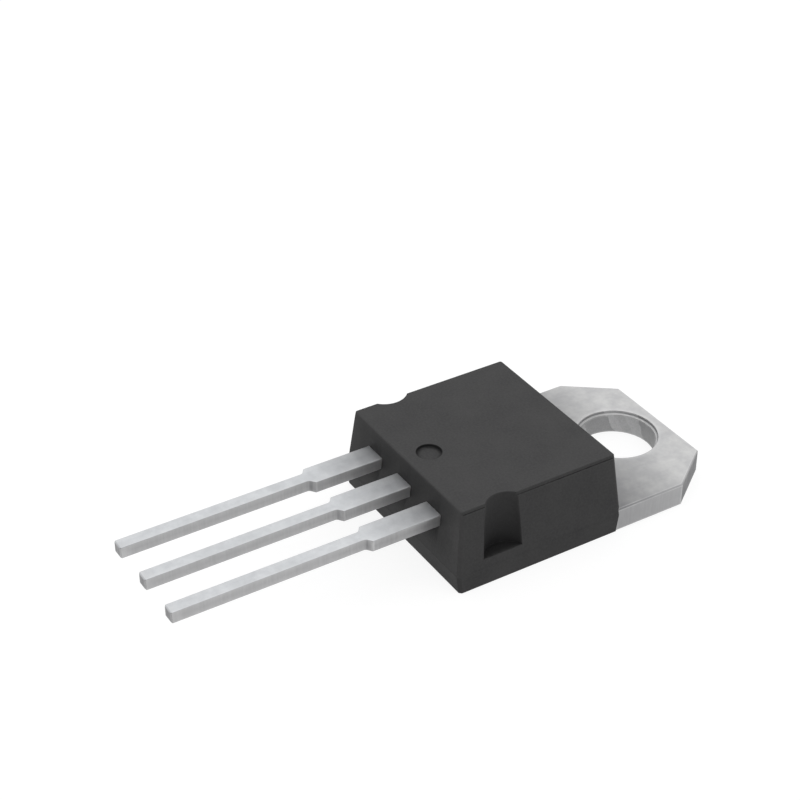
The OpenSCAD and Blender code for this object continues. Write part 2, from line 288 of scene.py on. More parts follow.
def wall_insets(z):
    """Insets of the long sides and the ends at heights z, and the part of each that isn't draft.

    The ledge is a half cosine wave, ledge_climb high. The ridge at the parting line is
    ridge_height * exp(-((z - parting_z) / ridge_half)^2).
    """
    side, end = wall_lean(z, front_draft, side_back_draft), wall_lean(z, front_draft, end_back_draft)
    down_ledge = np.clip((body_height - z - ledge_drop) / ledge_climb + 1, 0, 1)
    ledge = ledge_width * (0.5 + 0.5 * np.cos(np.pi * down_ledge))
    foot = rounding(body_height - z, 0, fine_radius)
    ridge = ridge_height * np.exp(-(((z - parting_z) / ridge_half) ** 2))
    long_off = ledge + rounding(z, front_draft, fine_radius) + foot - ridge
    end_off = rounding(z, front_draft, end_edge_radius) + foot - ridge
    return side + long_off, end + end_off, long_off, end_off


print("insets at the front face:", np.ravel(wall_insets(np.array([body_height]))[:2]).round(3))

# %% One long side with its notch
notch_axis_x = body_half + notch_outset
notch_y = lead_end_y + notch_from_end


def notched_side(wall_x, low_y, high_y, radius, share):
    """Points up the +X side, (rings, points, 2), with the notch pulled in by its share from 0 to 1.

    The notch is an arc about its axis. Each lip is a small arc inside the wall, tangent to the wall
    and to the notch: its centre lies fine_radius inside the wall and radius + fine_radius from the
    axis. A point of the notch keeps its y, and its x goes from the wall to the arc with the share.
    """
    reach = notch_axis_x - wall_x
    lip_y = np.sqrt((radius + fine_radius) ** 2 - (reach + fine_radius) ** 2)
    turn = np.arctan2(lip_y, reach + fine_radius)
    bend = np.linspace(0, 1, 6)
    lip_x = wall_x - fine_radius + fine_radius * np.cos(turn * bend)
    low_lip = np.stack([lip_x, notch_y - lip_y + fine_radius * np.sin(turn * bend)], axis=-1)
    high_lip = np.stack([lip_x, notch_y + lip_y - fine_radius * np.sin(turn * bend)], axis=-1)[:, ::-1]
    sweep = np.pi + turn * np.linspace(1, -1, 34)[1:-1]
    bite = np.stack([notch_axis_x + radius * np.cos(sweep), notch_y + radius * np.sin(sweep)], axis=-1)
    notch = np.concatenate([low_lip, bite, high_lip], axis=1)
    notch[..., 0] = wall_x + share * (notch[..., 0] - wall_x)
    before = framed_side(np.hstack([wall_x, low_y]), np.hstack([wall_x, notch_y - lip_y]), wall_gap)
    after = framed_side(np.hstack([wall_x, notch_y + lip_y]), np.hstack([wall_x, high_y]), wall_gap, 10)
    return np.concatenate([before, notch, after], axis=1)


def moulding_rings(z, share):
    """Outlines of the moulding at heights z, (rings, points, 2): eight sides, two of them notched."""
    side, end, long_off, end_off = (part[:, None] for part in wall_insets(z))
    wall_x, low_y, high_y = body_half - side, lead_end_y + end, tab_end_y - end
    rim = np.clip(fine_radius + z[:, None] - body_height, 0, None)
    radius = notch_radius + fine_radius - np.sqrt(np.clip(fine_radius**2 - rim**2, 0, None))
    leg = np.clip(corner_flat / np.sqrt(2) - long_off - end_off, least_flat, None)
    diagonal_tab, diagonal_lead = (wall_x + high_y - leg) / np.sqrt(2), (wall_x - low_y - leg) / np.sqrt(2)
    distances = np.hstack([wall_x, diagonal_tab, high_y, diagonal_tab,
                           wall_x, diagonal_lead, -low_y, diagonal_lead])
    arcs = corner_arcs(np.arange(8) * 45, distances, fine_radius)
    right = notched_side(wall_x, arcs[:, 7, -1, 1:], arcs[:, 0, 0, 1:], radius, share[:, None])
    left = right[:, ::-1] * (-1, 1)
    tab_side = framed_side(arcs[:, 1, -1], arcs[:, 2, 0], wall_gap, 15)
    lead_side = framed_side(arcs[:, 5, -1], arcs[:, 6, 0], wall_gap, 39)
    return np.concatenate([arcs[:, 7], right, arcs[:, 0], arcs[:, 1], tab_side, arcs[:, 2], arcs[:, 3],
                           left, arcs[:, 4], arcs[:, 5], lead_side, arcs[:, 6]], axis=1)

# %% Heights of the rings
# Each list below gives heights from one turn of the wall, closest where it turns most. The shares
# say how far the notches are pulled in at the rings about their floor.
quarter = 1 - np.cos(np.linspace(0, np.pi / 2, 6))
fine_gaps = np.concatenate([fine_radius * quarter, [0.045]])
ledge_gaps = ledge_drop + np.array([-0.06, -0.035, -0.023, -0.018, -0.0145, -0.01, -0.0055, -0.002,
                                    0.003, 0.02, 0.045])
round_gaps = end_edge_radius * (1 - np.sin(np.radians([0, 6, 12, 20, 30, 40, 50, 60, 70, 80, 84.2])))
back_z = np.concatenate([fine_gaps, [0.12, 0.4]])
parting_rings = parting_z + np.array([-0.06, -0.04, -0.025, -0.012, 0, 0.012, 0.025, 0.04, 0.06, 0.2])
floor_rings = notch_floor_z + np.array([-0.06, -0.02, -0.008, -0.002, 0, 0.0005, 0.001, 0.002,
                                        0.006, 0.015, 0.03, 0.07])
floor_share = np.array([0, 0, 0.006, 0.02, 0.045, 0.35, 0.7, 0.94, 0.97, 0.988, 0.998, 1])
front_gaps = np.unique(np.round([*fine_gaps, *ledge_gaps, *round_gaps, 0.13, 0.5, 1.5], 4))[::-1]
level_z = np.concatenate([back_z, parting_rings, floor_rings, body_height - front_gaps])
level_share = np.concatenate([0 * back_z, 0 * parting_rings, floor_share, 1 + 0 * front_gaps])
walls = moulding_rings(level_z, level_share)
print("rings up the walls:", walls.shape, "heights rise:", bool((np.diff(level_z) > 0).all()))

# %% Caps and dimple
dimple_axis = np.array([0, lead_end_y + dimple_from_end])
dimple_profile = rounded_line(
    [(dimple_radius + 0.1, body_height), (dimple_radius, body_height),
     (dimple_radius, body_height - dimple_depth), (0.4, body_height - dimple_depth)], (0.03, 0.04), 5)
away = walls[-1] - dimple_axis
away /= np.linalg.norm(away, axis=1, keepdims=True)
dimple = dimple_axis + away * dimple_profile[:, 0][:, None, None]
to_dimple = np.array([0.006, 0.25, 0.5, 0.75])[:, None, None]
front_cap = walls[-1] * (1 - to_dimple) + dimple[0] * to_dimple
back_middle = np.array([0, (lead_end_y + tab_end_y) / 2])
from_middle = np.array([0.1, 0.4, 0.7, 0.99])[:, None, None]
back_cap = back_middle + (walls[0] - back_middle) * from_middle
outline = np.concatenate([back_cap, walls, front_cap, dimple])
heights = np.concatenate([np.zeros(len(back_cap)), level_z, np.full(len(front_cap), body_height),
                          dimple_profile[:, 1]])
moulding = surface("epoxy_moulding", at_heights(outline, heights))

# %% [markdown]
# ## Leads
#
# Leads are punched from copper strip. Their plan is wide beside the moulding, where the bar that
# joined them was cut away, and steps down to a slim blade. Punching pulls the strip's edges round,
# so the section is a rectangle with soft corners, carried along the lead with the width that the
# plan gives it. A bevelled box would miss the hollow curve of the step, and the centre lead's bends
# would need a second tool. Here the same section simply follows a bent line.

# %% Section of the strip
strip_radius, strip_gap = 0.04, 0.02


def strip_rings(half_width, low, high, trim=0.0, radius=strip_radius):
    """Sections of a strip, (rings, points, 2): rounded rectangles, each side moved in by `trim`."""
    half_width, low, high, trim = np.broadcast_arrays(half_width, low, high, trim)
    sides = np.stack([half_width, high, half_width, -low], axis=1) - trim[:, None]
    return framed_outline(corner_arcs(np.arange(4) * 90, sides, radius), strip_gap)


def carried(section, line, centre_x=0.0):
    """Points of a section carried along a line in (y, z), (rings, points, 3).

    At each point of the line the section stands square to it: its across goes along X, and its up
    goes along the line's left normal. The line runs to -Y, so that normal points to +Z, and the
    tiny step to -Y keeps it there where points of the line fall together, as on a tip's end face.
    """
    way = np.gradient(line, axis=0) - (1e-9, 0)
    way /= np.linalg.norm(way, axis=1, keepdims=True)
    up = np.stack([way[:, 1], -way[:, 0]], axis=1)
    place = line[:, None] + section[..., 1:] * up[:, None]
    return np.concatenate([section[..., :1] + centre_x, place], axis=2)

# %% Plan of a lead
wide_half, slim_half = 0.615, 0.325
wide_length, step_length = 3.3, 0.22
tip_bevel = 0.055
step_y = lead_end_y - wide_length
lead_middle_z = (lead_rear_z + lead_front_z) / 2
strip_half = (lead_front_z - lead_rear_z) / 2
step_line = rounded_line([(step_y + 0.1, wide_half), (step_y, wide_half), (step_y - step_length, slim_half),
                          (step_y - 0.8, slim_half)], (0.06, 0.2), 6)
tip_line = rounded_line([(0.6, 0), (tip_bevel, 0), (0, tip_bevel), (0, 0.12)], (0.03, 0.015), 3)
wide_y = lead_end_y + np.array([0.3, -0.4, -1.2, -2.2])
slim_y = np.linspace(step_y - 1.4, lead_tip_y + 0.9, 8)
blade_y = np.concatenate([wide_y, step_line[:, 0], slim_y, lead_tip_y + tip_line[:, 0]])
blade_half = np.concatenate([wide_half + 0 * wide_y, step_line[:, 1],
                             slim_half + 0 * slim_y, slim_half + 0 * tip_line[:, 0]])
blade_trim = np.concatenate([0 * wide_y, 0 * step_line[:, 0], 0 * slim_y, tip_line[:, 1]])
print(f"blade: {len(blade_y)} stations from {blade_y[0]:.2f} to {blade_y[-1]:.2f}")

# %% The two side leads
post_foot_y, post_end_y = lead_end_y + 1.0, lead_end_y + 2.1
post_half, post_corner = 1.1, 0.2


def post_outline():
    """Stations of a bond post and its half widths, from its inner end to its foot.

    Its corners are quarter circles, so with c their radius and s the way in from either end the
    half width is post_half - c + sqrt(c^2 - (c - s)^2).
    """
    way_in = post_corner * (1 - np.cos(np.linspace(0.12, np.pi / 2, 6)))
    half = post_half - post_corner + np.sqrt(post_corner**2 - (post_corner - way_in) ** 2)
    way = np.concatenate([post_end_y - way_in, (post_foot_y + way_in)[::-1]])
    return way, np.concatenate([half, half[::-1]])


def side_lead(name, centre_x):
    """One side lead: bond post, neck, wide part, step, slim blade and bevelled tip, as one strip."""
    post_way, post_width = post_outline()
    neck_y = post_foot_y - np.array([0.002, 0.1])
    way = np.concatenate([post_way, neck_y, blade_y])
    half = np.concatenate([post_width, wide_half + 0 * neck_y, blade_half])
    trim = np.concatenate([0 * post_way, 0 * neck_y, blade_trim])
    line = np.stack([way, lead_middle_z + 0 * way], axis=1)
    return surface(name, carried(strip_rings(half, -strip_half, strip_half, trim), line, centre_x))


control_pin = side_lead("control_pin", -lead_pitch)
drain_pin = side_lead("drain_pin", lead_pitch)

# %% [markdown]
# ## Tab, die pad and centre lead
#
# The tab, the pad that carries the die and the centre lead are one punching from a strip of two
# thicknesses. The tab's grid closes on itself like a doughnut: up the outer edge, in over the front
# face, down the bore and out over the back face. The pad and the lead are carried strips that run
# into it, and a Boolean union makes one piece of the three, as a union of drawn solids would.

# %% Plate with its bore
tab_half, tab_thick = float(frame_high[0]), 1.24
tab_bevel, bevel_radius = 0.06, 0.03
cut_x, cut_y, cut_radius = 1.8, 2.4, 0.08
hole_radius, ring_width, ring_depth, ring_radius = 1.93, 0.1, 0.18, 0.065
root_y = tab_end_y - parting_z * np.tan(np.radians(end_back_draft)) - corner_flat / np.sqrt(2)


def evenly_joined(arcs):
    """Closed rings of points: each corner arc, then 16 points along the straight side that follows it."""
    after = np.roll(arcs[:, :, 0], -1, axis=1)
    share = (0.01 + 0.98 * np.linspace(0, 1, 16))[:, None]
    sides = arcs[:, :, -1][:, :, None] * (1 - share) + after[:, :, None] * share
    return np.concatenate([arcs, sides], axis=2).reshape(len(arcs), -1, 2)


def tab_plate():
    """The tab as a closed grid, (rings, points, 3): up its edge, in, down the bore and out again.

    The outline has six sides. Its rings follow a section line of (trim, z) round the edge, and the
    bore's rings follow a section line of (radius, z), on the same rays from the hole's axis. Each
    rounding has four points, and rings on either side of a pair of roundings frame it.
    """
    edge = rounded_line([(1.2, 0), (tab_bevel, 0), (0, tab_bevel), (0, tab_thick - tab_bevel),
                         (tab_bevel, tab_thick), (1.2, tab_thick)], 4 * (bevel_radius,), 3)[1:-1]
    edge = np.vstack([(0.12, 0), edge[:8], (0, 0.14), (0, tab_thick / 2), (0, tab_thick - 0.14), edge[8:],
                      (0.12, tab_thick)])
    slant = np.degrees(np.arctan2(cut_x, cut_y))
    cut = (tab_half * cut_y + (tab_free_y - cut_y) * cut_x) / np.hypot(cut_x, cut_y)
    sides = np.array([tab_half, cut, tab_free_y, cut, tab_half, -root_y])
    arcs = corner_arcs(np.array([0, slant, 90, 180 - slant, 180, 270]), sides - edge[:, :1], cut_radius, 4)
    outline = evenly_joined(arcs)
    ray = outline[0] / np.linalg.norm(outline[0], axis=1, keepdims=True)
    ledge_z = tab_thick - ring_depth
    bore = rounded_line([(hole_radius + 0.3, tab_thick), (hole_radius + ring_width, tab_thick),
                         (hole_radius + ring_width, ledge_z), (hole_radius, ledge_z),
                         (hole_radius, 0), (hole_radius + 0.3, 0)],
                        (bevel_radius, ring_radius, bevel_radius, bevel_radius), 3)
    bore = np.vstack([bore[:13], (hole_radius, ledge_z - 0.12), (hole_radius, 0.12), bore[13:]])
    circle = ray * bore[:, 0][:, None, None]
    inward = np.linspace(0, 1, 5)[1:-1, None, None]
    front = outline[-1] * (1 - inward) + circle[0] * inward
    back = circle[-1] * (1 - inward) + outline[0] * inward
    plan = np.concatenate([outline, front, circle, back])
    return at_heights(plan, np.concatenate([edge[:, 1], np.full(3, tab_thick), bore[:, 1], np.zeros(3)]))


plate = surface("tab_plate", tab_plate(), joined=True)

# %% Pad and stem
pad_half, pad_cover = 3.9, 0.4
groove_y, groove_half, groove_depth = tab_end_y - 0.75, 0.2, 0.15
lock_y, lock_radius = tab_end_y - 2.2, 0.45
bend_angle, bend_radius = np.radians(60), 0.6
bend_reach = bend_radius * np.tan(bend_angle / 2)
rise = lead_middle_z - (tab_thick - strip_half)
upper_corner = lead_end_y + 0.75 + bend_reach
lower_corner = upper_corner + rise / np.tan(bend_angle)
pad_y = lower_corner + bend_reach


def die_pad():
    """The pad as a carried strip: locking notches narrow it, and a groove dips its front face.

    Half width = pad_half - sqrt(lock_radius^2 - (y - lock_y)^2) beside a notch. The groove is a V.
    """
    lock = lock_y + lock_radius * np.sin(np.linspace(np.pi / 2, -np.pi / 2, 13))
    plain = np.array([tab_end_y + 0.3, groove_y + groove_half, groove_y, groove_y - groove_half,
                      groove_y - 0.4])
    way = np.concatenate([plain, lock, np.linspace(lock_y - 1, pad_y + 0.1, 4), [pad_y + 0.01, pad_y]])
    bite = np.sqrt(np.clip(lock_radius**2 - (way - lock_y) ** 2, 0, None))
    dip = np.clip(groove_depth * (1 - np.abs(way - groove_y) / groove_half), 0, None)
    section = strip_rings(pad_half - bite, pad_cover, tab_thick - dip, 0, bevel_radius)
    return np.concatenate([section[..., :1], np.broadcast_to(way[:, None, None], (*section.shape[:2], 1)),
                           section[..., 1:]], axis=2)


def centre_lead():
    """The centre lead: a strip carried from the pad up its two bends and out to the tip."""
    bends = rounded_line([(pad_y + 0.5, tab_thick - strip_half), (lower_corner, tab_thick - strip_half),
                          (upper_corner, lead_middle_z), (lead_end_y + 0.35, lead_middle_z)],
                         (bend_radius, bend_radius), 8)
    blade = np.stack([blade_y, lead_middle_z + 0 * blade_y], axis=1)
    line = np.vstack([bends, blade])
    half = np.concatenate([wide_half + 0 * bends[:, 0], blade_half])
    trim = np.concatenate([0 * bends[:, 0], blade_trim])
    return carried(strip_rings(half, -strip_half, strip_half, trim), line)


pad = surface("die_pad", die_pad())
stem = surface("centre_lead", centre_lead())

# %% [markdown]
# ## Fit the pieces to each other
#
# Epoxy flows round everything that stands in its mould, so the moulding has an exact pocket for the
# pad, the posts, the die and its wires. Modelling those pockets by hand would be slow, and a Boolean
# difference cuts them from the pieces themselves. The grids are still in millimetres here, which
# keeps the cutting well clear of rounding errors.

# %% Boolean helpers
def odd_edges(mesh):
    """How many edges of a mesh have other than two faces. A closed skin has none."""
    uses = np.bincount(listed(mesh.loops, "edge_index", kind=np.int32), minlength=len(mesh.edges))
    return int((uses != 2).sum())


def apply_boolean(target, cutter, operation):
    """Replaces the target's mesh with its union with, or difference from, the cutter."""
    modifier = target.modifiers.new("fit", "BOOLEAN")
    modifier.operation = operation
    modifier.solver = "EXACT"
    modifier.object = cutter
    ready = target.evaluated_get(bpy.context.evaluated_depsgraph_get())
    result = bpy.data.meshes.new_from_object(ready)
    result.name = target.name
    target.modifiers.clear()
    target.data = result
    print(f"{target.name}: {operation.lower()} with {cutter.name}, {len(result.polygons)} faces,",
          odd_edges(result), "odd edges")


def merged_copy(node):
    """A CAD piece's mesh in millimetres, with its loose triangles welded into one skin."""
    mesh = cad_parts[node].data.copy()
    mesh.transform(Matrix.Scale(1 / MM, 4))
    skin = bmesh.new()
    skin.from_mesh(mesh)
    bmesh.ops.remove_doubles(skin, verts=skin.verts, dist=1e-4)
    skin.to_mesh(mesh)
    skin.free()
    copy = bpy.data.objects.new(node + "_cutter", mesh)
    bpy.context.scene.collection.objects.link(copy)
    return copy

# %% Cut the pockets and join the frame
apply_boolean(plate, moulding, "DIFFERENCE")
for cutter in (pad, stem, control_pin, drain_pin):
    apply_boolean(moulding, cutter, "DIFFERENCE")
inner_nodes = ["die_solder", "silicon_die", "control_bond_wire", "drain_bond_wire_1", "drain_bond_wire_2",
               "source_bond_wire_1", "source_bond_wire_2"]
for node in inner_nodes:
    cutter = merged_copy(node)
    apply_boolean(moulding, cutter, "DIFFERENCE")
    bpy.data.objects.remove(cutter)
for part in (pad, stem):
    apply_boolean(plate, part, "UNION")
    bpy.data.objects.remove(part)

# %% Hand the pieces to the frame
def settle(piece, name, node):
    """Scales a piece to metres, marks its sharp edges, and lets it stand for a CAD piece."""
    piece.name = name
    piece.data.name = name
    piece.data.transform(Matrix.Scale(MM, 4))
    piece.data.set_sharp_from_angle(angle=np.radians(36))
    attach(piece, "root")
    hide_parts(node)
    print(f"{name}: {len(piece.data.polygons)} faces, {odd_edges(piece.data)} odd edges")


settle(moulding, "epoxy_moulding", "molded_body")
settle(plate, "tab_with_centre_lead", "tab_frame")
settle(control_pin, "control_pin", "control_lead")
settle(drain_pin, "drain_pin", "drain_lead")

# %% [markdown]
# ## Small networks that the finishes share
#
# A finish is a base value plus a few effects: cloudy tone, grain, streaks from rolling, rough cut
# sides. Each effect is a node group with named inputs, so that one network serves several metals at
# different sizes. The groups only give masks and normals that vary over the surface. What is the
# same all over, such as how metallic a piece is, stays on the shader's own sockets. Wiring by hand
# gives the same trees, but sums on varying values let each mask be read as a formula. Distances are
# in millimetres, apart from the depth of the grain, which the bump node takes in metres.

# %% Build node trees in code
class Varying:
    """A value that varies over the surface, which is one output of a node. Sums on it add nodes."""

    def __init__(self, socket):
        self.socket, self.tree = socket, socket.id_data

    def __add__(self, other):
        return work_out("ADD", self, other)

    def __sub__(self, other):
        return work_out("SUBTRACT", self, other)

    def __rsub__(self, other):
        return work_out("SUBTRACT", other, self)

    def __mul__(self, other):
        return work_out("MULTIPLY", self, other)

    def __truediv__(self, other):
        return work_out("DIVIDE", self, other)

    def __rtruediv__(self, other):
        return work_out("DIVIDE", other, self)

    def __abs__(self):
        return work_out("ABSOLUTE", self)

    def spread(self, low, high, to_low=0.0, to_high=1.0):
        """The stretch from `low` to `high` laid out from `to_low` to `to_high`, and held at its ends."""
        return read(add(self.tree, "MapRange", {"Value": self, "From Min": low, "From Max": high,
                                                "To Min": to_low, "To Max": to_high}, clamp=True))


def read(node, key=0):
    """One output of a node, by its name or number."""
    return Varying(node.outputs[key])


def feed(socket, value):
    """Links a varying value to a socket, or sets the socket to a plain value."""
    if isinstance(value, Varying):
        socket.id_data.links.new(value.socket, socket)
    else:
        socket.default_value = value


def add(tree, kind, inputs=(), **settings):
    """A node with its settings and with each of its inputs fed."""
    node = tree.nodes.new("ShaderNode" + kind)
    for key, value in settings.items():
        setattr(node, key, value)
    for key, value in dict(inputs).items():
        feed(node.inputs[key], value)
    return node


def work_out(operation, first, second=0.0):
    """One sum on two numbers, of which at least one varies."""
    tree = next(value.tree for value in (first, second) if isinstance(value, Varying))
    return read(add(tree, "Math", {0: first, 1: second}, operation=operation))


def larger(first, second):
    """The larger of two numbers, of which at least one varies."""
    return work_out("MAXIMUM", first, second)


def blend(mask, low, high):
    """A colour between two, each plain or varying, by a mask from 0 to 1."""
    mix = add(mask.tree, "Mix", data_type="RGBA")
    feed(mix.inputs[0], mask)
    for socket, colour in ((mix.inputs[6], low), (mix.inputs[7], high)):
        feed(socket, colour if isinstance(colour, Varying) else (*colour, 1))
    return read(mix, 2)


def scaled(colour, share):
    """A plain colour made lighter or darker by a share."""
    return tuple(share * value for value in colour)


def parts_of(vector):
    """The X, Y and Z of a varying vector."""
    node = add(vector.tree, "SeparateXYZ", {0: vector})
    return tuple(read(node, axis) for axis in "XYZ")


def distance(x, y, centre_x=0.0, centre_y=0.0):
    """How far a place in plan lies from an upright axis."""
    in_plan = read(add(x.tree, "CombineXYZ", {"X": x, "Y": y}))
    axis = (centre_x, centre_y, 0)
    return read(add(x.tree, "VectorMath", {0: in_plan, 1: axis}, operation="DISTANCE"), "Value")


def stretched(place, x, y, z):
    """A place with each of its coordinates multiplied by a number of its own."""
    scales = read(add(place.tree, "CombineXYZ", {"X": x, "Y": y, "Z": z}))
    return read(add(place.tree, "VectorMath", {0: place, 1: scales}, operation="MULTIPLY"))


def noise(place, scale, detail, roughness):
    """Cloudy noise from 0 to 1, with `scale` lumps to each unit of the place."""
    return read(add(place.tree, "TexNoise", {"Vector": place, "Scale": scale, "Detail": detail,
                                             "Roughness": roughness}), "Fac")


def effect(name, takes, gives):
    """An empty node group, its inputs by name as varying values, and the sockets that it gives.

    `takes` gives each input's name with a number, or None for a vector, and `gives` names outputs.
    """
    group = bpy.data.node_groups.new(name, "ShaderNodeTree")
    for label, value in takes.items():
        kind = "NodeSocketVector" if value is None else "NodeSocketFloat"
        socket = group.interface.new_socket(label, in_out="INPUT", socket_type=kind)
        if value is not None:
            socket.default_value = value
    for label in gives:
        kind = "NodeSocketVector" if label == "Normal" else "NodeSocketFloat"
        group.interface.new_socket(label, in_out="OUTPUT", socket_type=kind)
    entry, leaving = group.nodes.new("NodeGroupInput"), group.nodes.new("NodeGroupOutput")
    return group, {label: read(entry, label) for label in takes}, leaving.inputs


def use(group, place, **inputs):
    """What an effect gives at a place, by name, with its other inputs set or linked."""
    node = add(place.tree, "Group", {"Place": place, **inputs}, node_tree=group)
    return {socket.name: Varying(socket) for socket in node.outputs}

# %% Cloudy tone
cloudy, takes, gives = effect("cloudy_tone", {"Place": None, "Size": 1.0, "Softness": 0.15}, ["Mask"])
clouds = noise(takes["Place"], 1.0 / takes["Size"], 3.0, 0.55)
feed(gives["Mask"], clouds.spread(0.5 - takes["Softness"], takes["Softness"] + 0.5))

# %% Fine grain
grain, takes, gives = effect("fine_grain", {"Place": None, "Grain": 0.1, "Depth": 0.001 * MM},
                             ["Normal", "Height"])
specks = noise(takes["Place"], 1.0 / takes["Grain"], 2.0, 0.6)
bump = add(grain, "Bump", {"Strength": 1.0, "Distance": takes["Depth"], "Height": specks})
feed(gives["Normal"], read(bump, "Normal"))
feed(gives["Height"], specks)

# %% Streaks from rolling
streaks, takes, gives = effect("rolling_streaks", {"Place": None, "Width": 0.12, "Length": 4.0}, ["Mask"])
across, along = 1.0 / takes["Width"], 1.0 / takes["Length"]
lines = noise(stretched(takes["Place"], across, along, across), 1.0, 3.0, 0.6)
feed(gives["Mask"], lines.spread(0.35, 0.65))

# %% Cut sides
cut_sides, takes, gives = effect("cut_sides", {"Face": None, "Place": None, "Spacing": 0.09},
                                 ["Side", "Sheared", "Lines"])
endways, upright = parts_of(takes["Face"])[1:]
side = abs(upright).spread(0.35, 0.75, 1.0, 0.0)
per_tooth = 1.0 / takes["Spacing"]
teeth = noise(stretched(takes["Place"], per_tooth, per_tooth, 0.6), 1.0, 2.0, 0.6)
feed(gives["Side"], side)
feed(gives["Sheared"], side * abs(endways).spread(0.3, 0.55))
feed(gives["Lines"], teeth.spread(0.3, 0.7))

# %% Masks for painted highlights on edges and painted shade in hollows
edges, takes, gives = effect("edge_highlight_and_hollow_shade", {"Place": None, "Patch": 0.4}, ["Highlight", "Hollow"])
broken = noise(takes["Place"], 1.0 / takes["Patch"], 2.0, 0.5).spread(0.35, 0.65, 0.5, 1.0)
for label, mark in (("Highlight", "convex_edge"), ("Hollow", "hollow")):
    marked = add(edges, "Attribute", attribute_name=mark, attribute_type="GEOMETRY")
    feed(gives[label], read(marked, "Fac") * broken)

# %% Materials and where they are read
def finish(name, colour, roughness, metallic=0.0, specular=0.5):
    """A new material, its shader's sockets, the place in millimetres and the face's direction."""
    material = bpy.data.materials.new(name)
    material.use_nodes = True
    material.diffuse_color = (*colour, 1)
    tree = material.node_tree
    sockets = tree.nodes["Principled BSDF"].inputs
    sockets["Base Color"].default_value = (*colour, 1)
    sockets["Roughness"].default_value = roughness
    sockets["Metallic"].default_value = metallic
    sockets["Specular IOR Level"].default_value = specular
    spot = add(tree, "TexCoord")
    in_mm = add(tree, "Mapping", {"Vector": read(spot, "Object"), "Scale": (1 / MM, 1 / MM, 1 / MM)})
    return material, sockets, read(in_mm, "Vector"), read(spot, "Normal")


def paint(sockets, tone, roughness, normal):
    """Feeds the three sockets of a shader whose values vary over the surface."""
    feed(sockets["Base Color"], tone)
    feed(sockets["Roughness"], roughness)
    feed(sockets["Normal"], normal)

# %% [markdown]
# ## Epoxy
#
# Moulding compound is mostly fused silica in black epoxy. It comes off an eroded steel mould, so it
# is matt with a grain of about a tenth of a millimetre, and flow leaves faint clouds in its tone.
# Little light gets into its hollows, so it looks darkest round the leads, at the floor of a notch
# and in the rim of the dimple, and that shade is painted into its tone. A mask for each of these is
# worked out from the sizes of the moulding, so it stays in its place when one changes, as paint laid
# on by hand would not. Hollow corners and faces that look down get painted shade too, and bulging
# edges a painted highlight.

# %% Shade where the leads come out
row_shift, row_half, climb_cut = 0.35, 2.9, 0.6


def lead_shade(place, face):
    """Shade on the lead end: soft about the row of leads, and darker close round each lead.

    The distance from the row is the larger of the way past its ends and the way up or down from
    its middle height, where a way up counts only 1 - climb_cut of its length.
    """
    x, y, z = parts_of(place)
    above_row, beside = z - lead_middle_z, abs(x)
    over_row = abs(above_row)
    from_row = larger(abs(x + row_shift) - row_half, over_row - larger(above_row, 0.0) * climb_cut)
    nearest_lead = work_out("ROUND", beside / lead_pitch) * lead_pitch
    beside_lead = abs(beside - nearest_lead)
    off_lead = larger(beside_lead - wide_half, over_row - strip_half)
    over_lead = beside_lead.spread(0.4, 1.0, 1.0, 0.0) * above_row.spread(0.36, 1.3, 0.64, 0.48)
    over_lead = over_lead * above_row.spread(0.2, 0.36)
    close = larger(off_lead.spread(0.0, 0.16, 0.7, 0.0), over_lead) * beside.spread(3.2, 3.5, 1.0, 0.0)
    on_wall = parts_of(face)[1].spread(-0.95, -0.6, 1.0, 0.0)
    on_wall = on_wall * y.spread(lead_end_y + 0.4, lead_end_y + 0.6, 1.0, 0.0)
    return larger(from_row.spread(0.2, 1.9, 0.5, 0.0), close) * on_wall

# %% Shade in the notches and the dimple
def notch_shade(place):
    """Shade on the walls of the notches, deepest at the floor and thin at the front face."""
    x, y, z = parts_of(place)
    on_bite = distance(abs(x), y, notch_axis_x, notch_y)
    on_bite = on_bite.spread(notch_radius + 0.005, notch_radius + 0.03, 1.0, 0.0)
    above_floor = z.spread(notch_floor_z - 0.05, notch_floor_z - 0.01)
    return on_bite * z.spread(notch_floor_z, body_height, 0.75, 0.2) * above_floor


def dimple_shade(place):
    """Shade in the dimple's rim, a ring some 0.05 mm wide about its radius."""
    x, y, z = parts_of(place)
    from_axis = distance(x, y, 0.0, lead_end_y + dimple_from_end)
    ring = from_axis.spread(dimple_radius - 0.03, dimple_radius - 0.01, 0.0, 0.9)
    ring = ring * from_axis.spread(dimple_radius + 0.01, dimple_radius + 0.035, 1.0, 0.0)
    return ring * z.spread(body_height - 0.3, body_height - 0.2)

# %% Epoxy of the moulding
epoxy, sockets, place, face = finish("black epoxy", (0.048, 0.048, 0.0485), 0.64, specular=0.19)
clouds = use(cloudy, place, Size=1.6, Softness=0.2)["Mask"]
fine = use(grain, place, Grain=0.11, Depth=0.0022 * MM)
rims = use(edges, place, Patch=0.5)
tone = blend(clouds, (0.044, 0.0437, 0.0447), (0.051, 0.0505, 0.0508))
tone = blend(fine["Height"].spread(0.35, 0.65) * 0.6, tone, (0.063, 0.0625, 0.063))
# Painted shade on faces that look down, round the leads and in the notches
back_shade = parts_of(face)[2].spread(-0.11, -0.05, 0.25, 0.0)
shade = larger(larger(lead_shade(place, face), notch_shade(place)), back_shade)
tone = blend(shade, tone, (0.005, 0.005, 0.0052))
# Painted highlight on bulging edges
tone = blend(rims["Highlight"] * 0.3, tone, (0.065, 0.0645, 0.065))
# Painted shade in hollow corners and in the rim of the dimple
tone = blend(larger(rims["Hollow"] * 0.85, dimple_shade(place)), tone, (0.004, 0.004, 0.0042))
paint(sockets, tone, clouds.spread(0, 1, 0.67, 0.61), fine["Normal"])
print("epoxy:", len(place.tree.nodes), "nodes")
